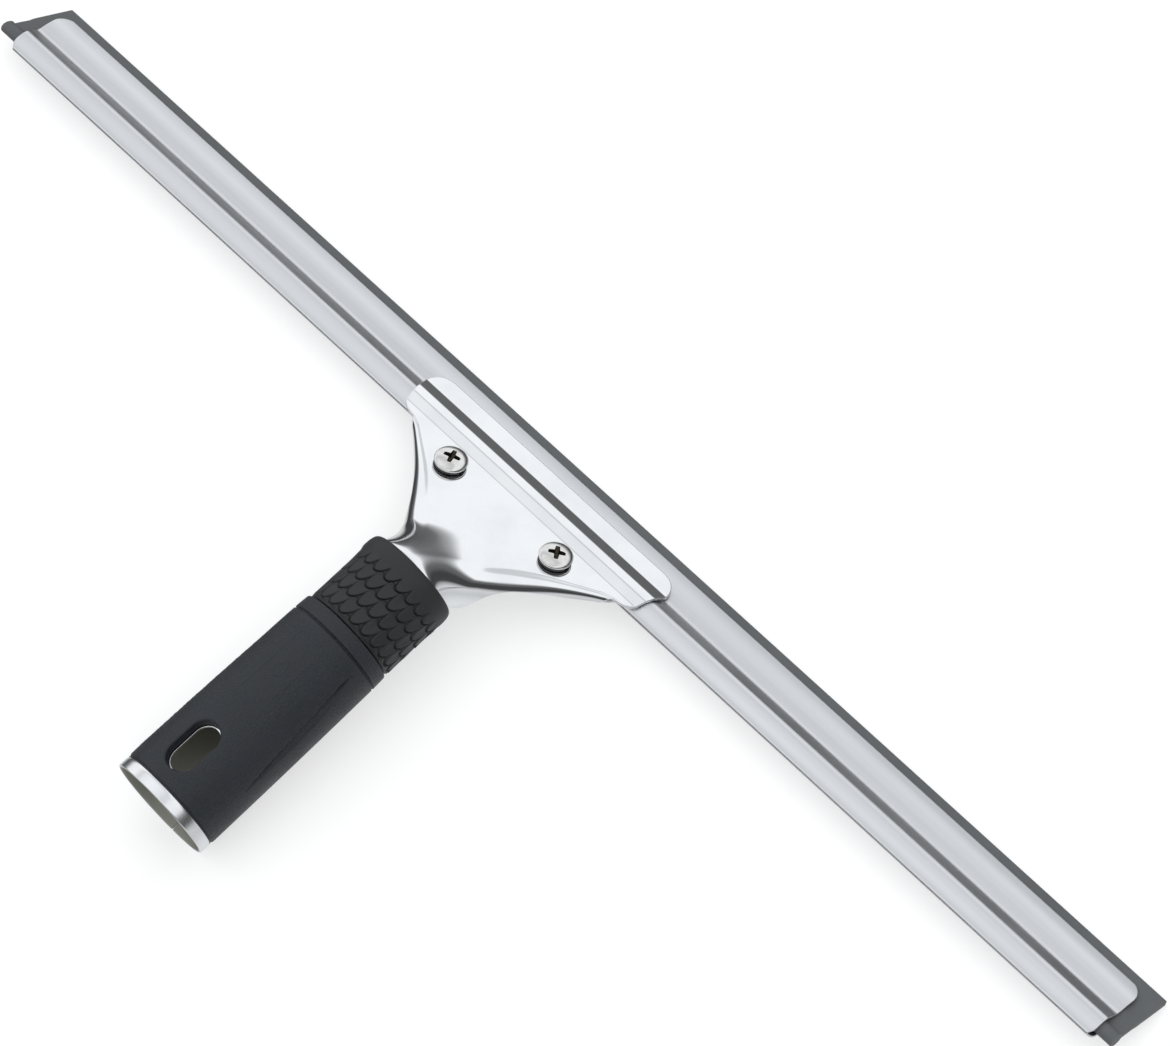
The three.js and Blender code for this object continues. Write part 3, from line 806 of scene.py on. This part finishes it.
def rear_relief(distance, angle):
    """Height of the rear grip's surface details over its plain sleeve."""
    t = np.clip((distance - SIDE_START) / (SIDE_END - SIDE_START), 0, 1)
    wide = 3.4 * (np.sin(math.pi * t**1.36)) ** 0.8
    across = (np.abs(signed(angle)) - groove_path(distance)) * SKIN
    depth = 1.5 * np.minimum(1, wide / 1.6)
    wall = smooth(across, -0.16, 0.12)
    ramp = 1 - smooth(across, 0.15, np.maximum(wide, 0.3))
    relief = -depth * wall * ramp * (t > 0) * (t < 1)
    ring = np.abs(distance - (GRIP_GROOVE + 0.35))
    relief = relief - 0.6 * (1 - smooth(ring, 0.12, 0.5))
    border = border_distance(distance, angle)
    relief = relief + 0.13 * (1 - smooth(np.abs(border), 0.12, 0.32))
    drop = drop_shape(signed(angle) * SKIN - BADGE_X, distance - BADGE_Y)
    return relief + 0.13 * (1 - smooth(np.abs(drop), 0.12, 0.3))


def drop_shape(x, y):
    """Signed distance, roughly, to a plain water drop 6 mm long."""
    body = np.hypot(x, y + 0.8) - 1.7
    tip = np.abs(x) * 0.86 + (y - 2.9) * 0.52
    return np.where(y > -0.2, np.maximum(tip, body - 2.4), body)


def grained(distance, angle):
    """1 where the rubber has its leather grain, 0 on its smooth panels."""
    edge = groove_path(np.clip(distance, SIDE_START, SIDE_END))
    on_top = 1 - smooth((np.abs(signed(angle)) - edge) * SKIN, -0.6, 0.0)
    outside = smooth(border_distance(distance, angle), 0.1, 0.5)
    ends = smooth(distance, 5, 9) * (1 - smooth(distance, 63, 65))
    y = distance - SLOT_CENTRE
    past = y - np.clip(y, -SLOT_STRAIGHT, SLOT_STRAIGHT)
    from_slot = np.hypot(signed(angle) * SKIN, past) - SLOT_RADIUS
    return on_top * outside * ends * smooth(from_slot, 1.2, 2.4)


def rear_radius(distance):
    distance = np.asarray(distance, float)
    radius = lerp(16.55, 15.75, np.clip((distance - GRIP_REAR) / (GRIP_GROOVE - GRIP_REAR), 0, 1))
    radius = radius + 0.12 * np.sin(np.clip((distance - 4) / 61, 0, 1) * math.pi)
    return np.where(distance > GRIP_GROOVE + 0.4, lerp(15.75, 15.5, (distance - 66) / 4.6), radius)


def rear_profile():
    """Distance and radius once round the sleeve's wall, and where its skin begins and ends."""
    inner = TUBE_RADIUS + FIT
    skin = np.r_[np.arange(5.2, 65, 0.3), np.arange(65, 66.6, 0.1), np.arange(66.8, 70.0, 0.25)]
    low = float(rear_radius(5.2))
    profile = [(GRIP_REAR, float(rim_radius(GRIP_REAR)) + FIT)]
    for turn in quarter(9)[:0:-1]:
        inset = GRIP_CORNER * (1 - math.sin(turn)), GRIP_CORNER * (1 - math.cos(turn))
        profile.append((GRIP_REAR + inset[0], low - inset[1]))
    first = len(profile)
    profile += [(a, float(rear_radius(a))) for a in skin]
    last = len(profile)
    for turn in quarter(5):
        profile.append((GRIP_SPLIT - 0.4 + 0.4 * math.sin(turn), 15.5 - 0.4 * (1 - math.cos(turn))))
    start = len(profile)
    profile += [(GRIP_SPLIT, inner)] + [(a, inner) for a in np.arange(69, 9.0, -1.0)]
    profile += [(a, float(rim_radius(a)) + FIT) for a in np.linspace(8.5, 4.3, 12)]
    return np.array(profile), first, last, start


def rear_grip(material):
    inner = TUBE_RADIUS + FIT
    profile, first, last, start = rear_profile()
    angles = np.linspace(-math.pi, math.pi, 331)[:-1]
    distance = profile[:, :1]
    radius = np.repeat(profile[:, 1:], len(angles), axis=1)
    radius[first:last] += skin_height(distance[first:last], angles[None, :])
    shell = Shell()
    ids = shell.add(ring_points(distance, radius, angles[None, :]))
    rows = near(profile[first:last, 0], SLOT_CENTRE - 11.2, SLOT_CENTRE + 11.5)
    outside = Hole(
        tuple(row + first for row in rows), near(angles * SKIN, -7.4, 7.4),
        (0, SLOT_CENTRE), SLOT_RADIUS, SLOT_STRAIGHT, 0.9, rings=12,
    )
    rows = near(profile[start:, 0], SLOT_CENTRE - 9.6, SLOT_CENTRE + 10.5)
    inside = Hole(
        tuple(row + start for row in rows), near(angles * inner, -7.0, 7.0),
        (0, SLOT_CENTRE), SLOT_RADIUS, SLOT_STRAIGHT, 0.15, rings=6,
    )
    mask = np.zeros(ids.shape, bool)
    outside.skip(mask)
    inside.skip(mask)
    shell.hoop(ids, mask)

    def outer_place(plan):
        plain = rear_radius(plan[:, 1])
        angle = np.arcsin(plan[:, 0] / plain)
        return ring_points(plan[:, 1], plain + skin_height(plan[:, 1], angle), angle)

    def inner_place(plan):
        return ring_points(plan[:, 1], inner, np.arcsin(plan[:, 0] / inner))

    rim = outside.face(shell, ids, outer_place, 1)
    join_walls(shell, rim, inside.face(shell, ids, inner_place, -1))
    return shell.build("grip_rear", TUBE, material)


def join_walls(shell, rim, far):
    """A wall between two rims of one outline that have different numbers of points."""
    def around(loop):
        x, y, _ = shell.places(loop).T
        turn = np.arctan2(x, y - SLOT_CENTRE)
        order = np.argsort(turn)
        turn = turn[order]
        return loop[np.r_[order, order[:1]]].tolist(), np.r_[turn, turn[0] + 2 * math.pi, math.inf]

    top, top_turn = around(rim)
    low, low_turn = around(far)
    i = j = 0
    while i < len(rim) or j < len(far):
        if top_turn[i + 1] <= low_turn[j + 1]:
            shell.faces.append([top[i], low[j], top[i + 1]])
            i += 1
        else:
            shell.faces.append([top[i], low[j], low[j + 1]])
            j += 1


def skin_height(distance, angle):
    grain = fine_noise(distance, angle, 0.8, 3.0) + 0.5 * fine_noise(distance, angle, 0.4, 9.0)
    return rear_relief(distance, angle) + 0.2 * grained(distance, angle) * np.abs(grain)


SCALE_PITCH = 5.05  # along the grip
SCALE_COUNT = 22  # round the grip
SCALE_START = 72.0
SCALE_END = 91.2
SCALE_DEPTH = 0.7
SCALE_BOW = 3.8  # length of a scale's rounded end
SCALE_SINK = 0.55  # how far the sleeve drops below its plain part to make room for the scales


def scale_height(distance, angle):
    """Overlapping round-ended scales with their tips towards the open end."""
    pitch = 2 * math.pi / SCALE_COUNT
    best = np.zeros(np.broadcast_shapes(distance.shape, angle.shape))
    rows = int(round((SCALE_END - SCALE_START) / SCALE_PITCH)) + 1
    for row in range(-1, rows):
        tip = SCALE_START + row * SCALE_PITCH
        offset = 0.5 * pitch * (row % 2)
        lean = (distance - tip) * 0.045
        x = 2 * (((angle + offset - lean * 0.4) / pitch + 0.5) % 1.0 - 0.5)
        round_end = np.sqrt(np.maximum(1 - x**2, 0.02))
        inside = distance - tip - SCALE_BOW * (1 - round_end)
        slope = SCALE_BOW * x / round_end / 2.2
        inside = inside / np.sqrt(1 + slope**2)
        high = SCALE_DEPTH * (1 - 0.62 * np.clip(inside / (SCALE_PITCH + 1.2), 0, 1) - 0.12 * x**2)
        high = high * smooth(inside, 0.0, 0.42)
        best = np.where(inside > -0.28, -0.16, best)
        best = np.where(inside > 0, high, best)
    ends = smooth(distance, SCALE_START - 0.8, SCALE_START + 0.2)
    ends = ends * (1 - smooth(distance, SCALE_END - 1.8, SCALE_END + 0.3))
    side = -signed(angle)
    worn = smooth(side, math.radians(35), math.radians(60)) * (1 - smooth(side, 2.2, 2.7))
    return best * ends * (1 - 0.75 * worn)


def front_radius(distance):
    distance = np.asarray(distance, float)
    return 15.25 + 0.2 * smooth(distance, 84, 92)


def front_grip(material):
    inner = TUBE_RADIUS + FIT
    rear = GRIP_SPLIT + FIT
    skin = np.arange(rear + 0.35, 91.9, 0.13)
    profile = [(rear, inner + 0.2), (rear, 14.5), (rear + 0.12, 14.65)]
    rows = slice(len(profile), len(profile) + len(skin))
    profile += [(a, float(front_radius(a)) - SCALE_SINK) for a in skin]
    for turn in quarter(18)[1:]:
        profile.append((91.8 + 4.5 * math.sin(turn), 15.45 - 1.55 * (1 - math.cos(turn)) ** 1.4))
    profile += [(GRIP_FRONT - 0.15, 13.3), (GRIP_FRONT - 0.5, inner)]
    profile += [(a, inner) for a in np.arange(94, rear + 1, -1.5)] + [(rear + 0.2, inner)]
    profile = np.array(profile)
    angles = np.linspace(-math.pi, math.pi, 561)[:-1]
    radius = np.repeat(profile[:, 1:], len(angles), axis=1)
    plain = SCALE_SINK * smooth(skin, SCALE_END - 1.6, 91.8)[:, None]
    radius[rows] += plain + scale_height(skin[:, None], angles[None, :])
    shell = Shell()
    shell.hoop(shell.add(ring_points(profile[:, :1], radius, angles[None, :])))
    return shell.build("grip_front", TUBE, material)


# ---- materials ----

def new_node(tree, kind, inputs, **settings):
    """A node whose inputs are linked to other nodes' outputs or set to plain values."""
    node = with_settings(tree.nodes.new("ShaderNode" + kind), **settings)
    for key, value in inputs.items():
        if isinstance(value, bpy.types.NodeSocket):
            tree.links.new(value, node.inputs[key])
        else:
            node.inputs[key].default_value = value
    return node.outputs


class Nodes:
    """A material and the few nodes it is made from."""

    def __init__(self, name, metallic, place=JAW):
        self.material = bpy.data.materials.new(name)
        self.material.use_nodes = True
        self.tree = self.material.node_tree
        self.shader = self.tree.nodes["Principled BSDF"].inputs
        self.shader["Metallic"].default_value = metallic
        self.place = self.within(place)
        self.relief = {}

    def node(self, kind, inputs, **settings):
        return new_node(self.tree, kind, inputs, **settings)

    def within(self, place):
        """Places given in that frame, in metres."""
        inputs = {"Location": place.to_translation(), "Rotation": place.to_euler()}
        inputs["Vector"] = self.node("TexCoord", {})["Object"]
        return self.node("Mapping", inputs, vector_type="TEXTURE")["Vector"]

    def noise(self, scale, detail=4.0, rough=0.55, stretch=(1, 1, 1), warp=0.0):
        place = self.node("Mapping", {"Scale": stretch, "Vector": self.place})["Vector"]
        inputs = {"Vector": place, "Scale": scale, "Detail": detail, "Roughness": rough}
        return self.node("TexNoise", {**inputs, "Distortion": warp})["Fac"]

    def cells(self, scale, feature):
        return self.node("TexVoronoi", {"Scale": scale, "Vector": self.place}, feature=feature)["Distance"]

    def spread(self, value, to_low=0, to_high=1, low=0.3, high=0.7):
        """A smooth step from to_low to to_high as the value goes from low to high."""
        inputs = {"Value": value, "From Min": low, "From Max": high, "To Min": to_low, "To Max": to_high}
        return self.node("MapRange", inputs, interpolation_type="SMOOTHSTEP")["Result"]

    def mix(self, factor, a, b):
        """From a to b, each a colour or another node's."""
        a, b = ((*colour, 1) if isinstance(colour, tuple) else colour for colour in (a, b))
        return self.node("Mix", {"Factor": factor, "A": a, "B": b}, data_type="RGBA")["Result"]

    def product(self, a, b):
        return self.node("Math", {0: a, 1: b}, operation="MULTIPLY")["Value"]

    def sum(self, a, b):
        return self.node("Math", {0: a, 1: b}, operation="ADD")["Value"]

    def vector(self, operation, a, b=(0, 0, 0), result="Vector"):
        return self.node("VectorMath", {0: a, 1: b}, operation=operation)[result]

    def along(self, vector, axis):
        """The part of a place that lies along an axis."""
        return self.vector("DOT_PRODUCT", vector, axis, "Value")

    def from_axis(self, vector, axes):
        """Length of a place's parts along those axes."""
        return self.vector("LENGTH", self.vector("MULTIPLY", vector, axes), result="Value")

    def bump(self, height, depth):
        """Adds relief of that depth in millimetres."""
        inputs = {"Height": height, "Distance": depth * MM, **self.relief}
        self.relief = {"Normal": self.node("Bump", inputs)["Normal"]}
        self.tree.links.new(self.relief["Normal"], self.shader["Normal"])

    def colour(self, value):
        self.tree.links.new(value, self.shader["Base Color"])

    def patches(self, pattern, a, b, low=0.3, high=0.7):
        """From colour a to b as the pattern goes from low to high."""
        self.colour(self.mix(self.spread(pattern, low=low, high=high), a, b))

    def roughness(self, value):
        self.tree.links.new(value, self.shader["Roughness"])


def polished_steel():
    """Bright on its outside, rougher on the flared rim, and a darker olive grey down the bore that is
    painted shade.
    """
    n = Nodes("polished_steel", 1)
    smear = n.noise(55, 5, 0.6)
    hair = n.noise(900, 3, 0.7, stretch=(0.06, 1, 1), warp=0.4)
    local = n.within(TUBE)
    from_axis = n.from_axis(local, (1, 0, 1))
    distance = n.along(local, (0, 1, 0))
    middle = n.spread(distance, (0.5 - RIM_RADIUS) * MM, (0.5 - TUBE_RADIUS) * MM, 2.8 * MM, 8.5 * MM)
    bore = n.spread(n.sum(from_axis, middle), 1, 0, -0.1 * MM, 0.1 * MM)
    bore = n.product(bore, n.spread(distance, 1, 0, (TUBE_LENGTH - 8) * MM, (TUBE_LENGTH - 3) * MM))
    shine = n.sum(n.spread(smear, 0.045, 0.12, 0.3, 0.75), n.spread(hair, 0.0, 0.06, 0.55, 0.8))
    shine = n.sum(shine, n.spread(distance, 0.16, 0, 5 * MM, 9 * MM))
    n.roughness(n.sum(shine, n.spread(bore, 0, 0.42, 0, 1)))
    steel = n.mix(n.spread(smear, low=0.35, high=0.7), (0.85, 0.86, 0.875), (0.79, 0.80, 0.82))
    # painted shade: the bore's darker olive grey stands for the shade inside the tube
    n.colour(n.mix(bore, steel, (0.45, 0.45, 0.41)))
    n.bump(n.noise(38, 2, 0.4), 0.05)
    n.bump(hair, 0.0006)
    return n.material


def satin_steel():
    """Drawn strip, with fine lines along its length."""
    n = Nodes("satin_steel", 1)
    lines = n.noise(1500, 4, 0.75, stretch=(0.004, 1, 1))
    broad = n.noise(260, 3, 0.6, stretch=(0.01, 1, 1))
    patch = n.noise(22, 3, 0.5)
    n.roughness(n.sum(n.spread(lines, 0.29, 0.33), n.spread(patch, 0.0, 0.04, 0.35, 0.7)))
    n.patches(broad, (0.70, 0.71, 0.73), (0.66, 0.67, 0.69))
    n.bump(lines, 0.0007)
    n.bump(broad, 0.0012)
    return n.material


def pressed_steel():
    n = Nodes("pressed_steel", 1)
    cloud = n.noise(70, 5, 0.65)
    n.roughness(n.spread(cloud, 0.22, 0.42, 0.3, 0.75))
    n.patches(cloud, (0.64, 0.65, 0.66), (0.54, 0.55, 0.56))
    n.bump(n.noise(1200, 4, 0.7, stretch=(0.03, 1, 1)), 0.003)
    return n.material


def screw_steel():
    """Plated heads, with painted shade down the driver's recess."""
    n = Nodes("screw_steel", 1)
    cloud = n.noise(420, 5, 0.7)
    offset = n.vector("SUBTRACT", n.vector("ABSOLUTE", n.place), (SCREW_X * MM, -SCREW_Y * MM, 0))
    recess = n.spread(n.from_axis(offset, (1, 1, 0)), 1, 0, 2.7 * MM, 2.75 * MM)
    height = n.along(n.place, (0, 0, 1))
    recess = n.product(recess, n.spread(height, 1, 0, (HEAD_Z + 1.8) * MM, (HEAD_Z + 1.88) * MM))
    recess = n.product(recess, n.spread(height, low=(HEAD_Z - 0.4) * MM, high=(HEAD_Z - 0.3) * MM))
    n.roughness(n.sum(n.spread(cloud, 0.13, 0.26), n.spread(recess, 0, 0.3, 0, 1)))
    bright = n.mix(n.spread(cloud, low=0.35, high=0.7), (0.76, 0.76, 0.75), (0.66, 0.65, 0.63))
    # painted shade: the near-black colour in the cross recess stands for the shade inside it
    n.colour(n.mix(recess, bright, (0.06, 0.055, 0.04)))
    n.bump(n.cells(1700, "F1"), 0.003)
    return n.material


def washer_steel():
    """Spring steel, made near black as painted shade under the screw heads."""
    n = Nodes("washer_steel", 0.6)
    cloud = n.noise(500, 5, 0.7)
    n.roughness(n.spread(cloud, 0.38, 0.6))
    # painted shade: these near-black colours stand for the shadow in the gap under each screw head
    n.patches(cloud, (0.035, 0.035, 0.038), (0.075, 0.073, 0.07))
    n.bump(n.noise(1800, 3, 0.6, stretch=(0.2, 0.2, 1)), 0.004)
    return n.material


def nut_steel():
    n = Nodes("nut_steel", 1)
    cloud = n.noise(300, 4, 0.6)
    n.roughness(n.spread(cloud, 0.24, 0.42))
    n.patches(cloud, (0.54, 0.54, 0.54), (0.44, 0.44, 0.43))
    n.bump(n.noise(2200, 3, 0.6, stretch=(0.15, 0.15, 1)), 0.003)
    return n.material


def blade_rubber():
    """Grey rubber with a faint bloom."""
    n = Nodes("blade_rubber", 0)
    bloom = n.noise(34, 5, 0.65)
    n.patches(bloom, (0.078, 0.083, 0.087), (0.10, 0.106, 0.110), 0.3, 0.72)
    n.roughness(n.spread(bloom, 0.5, 0.68))
    n.bump(n.noise(700, 3, 0.6, stretch=(0.01, 1, 1)), 0.006)
    n.bump(n.noise(2600, 3, 0.6), 0.012)
    return n.material


def grip_rubber():
    """Blue-black rubber with a leather grain."""
    n = Nodes("grip_rubber", 0, TUBE)
    leather = n.cells(1150, "DISTANCE_TO_EDGE")
    cloud = n.noise(60, 4, 0.6)
    n.patches(cloud, (0.0080, 0.0108, 0.0150), (0.0120, 0.0150, 0.0200))
    n.roughness(n.sum(n.spread(cloud, 0.44, 0.54), n.spread(leather, 0.1, 0.0, 0.0, 0.25)))
    n.bump(n.spread(leather, low=0.0, high=0.22), 0.08)
    n.bump(n.noise(3200, 4, 0.65), 0.012)
    return n.material


def scale_rubber():
    n = Nodes("scale_rubber", 0, TUBE)
    cloud = n.noise(90, 4, 0.6)
    n.patches(cloud, (0.0095, 0.0104, 0.0122), (0.0135, 0.0146, 0.0168))
    n.roughness(n.spread(cloud, 0.5, 0.64))
    n.bump(n.noise(2400, 5, 0.7), 0.02)
    return n.material


# ---- pieces ----

def fitted(piece, body, node):
    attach(piece, body)
    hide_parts(node)


fitted(handle_body(polished_steel()), "handle", "handle_body")
fitted(lower_jaw(pressed_steel()), "lower_clamp", "lower_jaw")
fitted(channel(satin_steel()), "channel_bar", "channel")
fitted(blade(blade_rubber()), "blade", "rubber_blade")
fitted(rear_grip(grip_rubber()), "handle", "rear_grip")
fitted(front_grip(scale_rubber()), "handle", "front_grip")
head, spring, nut = screw_steel(), washer_steel(), nut_steel()
for side, x in (("left", -SCREW_X), ("right", SCREW_X)):
    fitted(clamp_screw(side, x, head), f"screw_{side}", f"clamp_screw_{side}")
    fitted(lock_washer(side, x, spring), "handle", f"lock_washer_{side}")
    fitted(clamp_nut(side, x, nut), "lower_clamp", f"clamp_nut_{side}")


# ---- stage ----

def stage_piece(name, points, faces, grey, glow):
    """A pale piece of the stage that glows, and that the steel doesn't reflect."""
    mesh = bpy.data.meshes.new(name)
    mesh.from_pydata(points, [], faces)
    material = bpy.data.materials.new(name)
    material.use_nodes = True
    shader = material.node_tree.nodes["Principled BSDF"].inputs
    shader["Base Color"].default_value = (grey, grey, grey, 1)
    shader["Emission Color"].default_value = (1, 1, 1, 1)
    shader["Emission Strength"].default_value = glow
    mesh.materials.append(material)
    obj = put(name, mesh)
    obj.visible_glossy = False
    return obj, shader


def floor():
    reach = 6.0
    corners = [(-reach, -reach, 0), (reach, -reach, 0), (reach, reach, 0), (-reach, reach, 0)]
    _, shader = stage_piece("floor", corners, [(0, 1, 2, 3)], 0.48, 0.53)
    shader["Roughness"].default_value = 0.9
    shader["Specular IOR Level"].default_value = 0.1


def backdrop():
    """A dome round the scene that only the camera sees."""
    dome = Shell()
    lift = np.linspace(-0.05, math.pi / 2 - 0.05, 12)[:, None]
    turn = np.linspace(0, 2 * math.pi, 49)
    flat = np.cos(lift)
    dome.grid(dome.add(5.5 * xyz(flat * np.cos(turn), flat * np.sin(turn), np.sin(lift))))
    obj, _ = stage_piece("backdrop", dome.points[0].tolist(), dome.faces, 0, 0.97)
    with_settings(obj, visible_diffuse=False, visible_shadow=False, visible_transmission=False)


# how far up a direction points along a leaning axis, and how bright the studio is there
UP = (-0.35, 0, 1)
HIGHEST = 1.1
STUDIO = [
    (-1.1, 0.8), (-0.75, 0.6), (-0.46, 0.7), (-0.34, 0.4), (-0.26, 0.06), (-0.03, 0.055), (0.06, 0.12),
    (0.15, 0.15), (0.22, 0.45), (0.29, 1.0), (0.75, 1.0), (0.8, 0.68), (0.88, 0.68), (0.94, 0.9),
    (1.0, 0.92), (1.05, 1.0),
]


def world():
    """A studio in bands: bright above with one grey seam, dark round the middle, paler below."""
    sky = bpy.data.worlds.new("studio")
    bpy.context.scene.world = sky
    sky.use_nodes = True
    tree = sky.node_tree
    direction = new_node(tree, "TexCoord", {})["Generated"]
    height = new_node(tree, "VectorMath", {0: direction, 1: UP}, operation="DOT_PRODUCT")["Value"]
    level = new_node(tree, "MapRange", {"Value": height, "From Min": -HIGHEST, "From Max": HIGHEST})
    ramp = tree.nodes.new("ShaderNodeValToRGB")
    tree.links.new(level["Result"], ramp.inputs["Fac"])
    elements = ramp.color_ramp.elements
    while len(elements) < len(STUDIO):
        elements.new(0.5)
    for element, (place, value) in zip(elements, STUDIO):
        element.position = place / (2 * HIGHEST) + 0.5
        element.color = (value * 0.985, value, value * 1.015, 1)
    shine = tree.nodes["Background"].inputs
    tree.links.new(ramp.outputs["Color"], shine["Color"])
    shine["Strength"].default_value = 1.06


def softbox(name, place, size, power):
    """A square light turned towards the middle of the scene, and not reflected."""
    obj = put(name, with_settings(bpy.data.lights.new(name, "AREA"), size=size, energy=power))
    obj.location = place
    obj.rotation_euler = (-Vector(place)).to_track_quat("-Z", "Y").to_euler()
    obj.visible_glossy = False


def camera():
    """Where the photograph was taken from, as fitted to it."""
    lens = bpy.data.cameras.new("camera")
    obj = put("camera", with_settings(lens, lens=151.963, sensor_width=36, clip_start=0.05))
    obj.location = (0.560892, -0.285703, 1.241655)
    obj.rotation_euler = [math.radians(turn) for turn in (27.2346, 5.2934, 46.8863)]
    bpy.context.scene.camera = obj


floor()
backdrop()
world()
softbox("key", (-0.4, 0.5, 2.0), 3.0, 12)
softbox("fill", (1.6, -0.4, 1.6), 2.6, 14)
camera()
bpy.context.scene.view_settings.view_transform = "Standard"
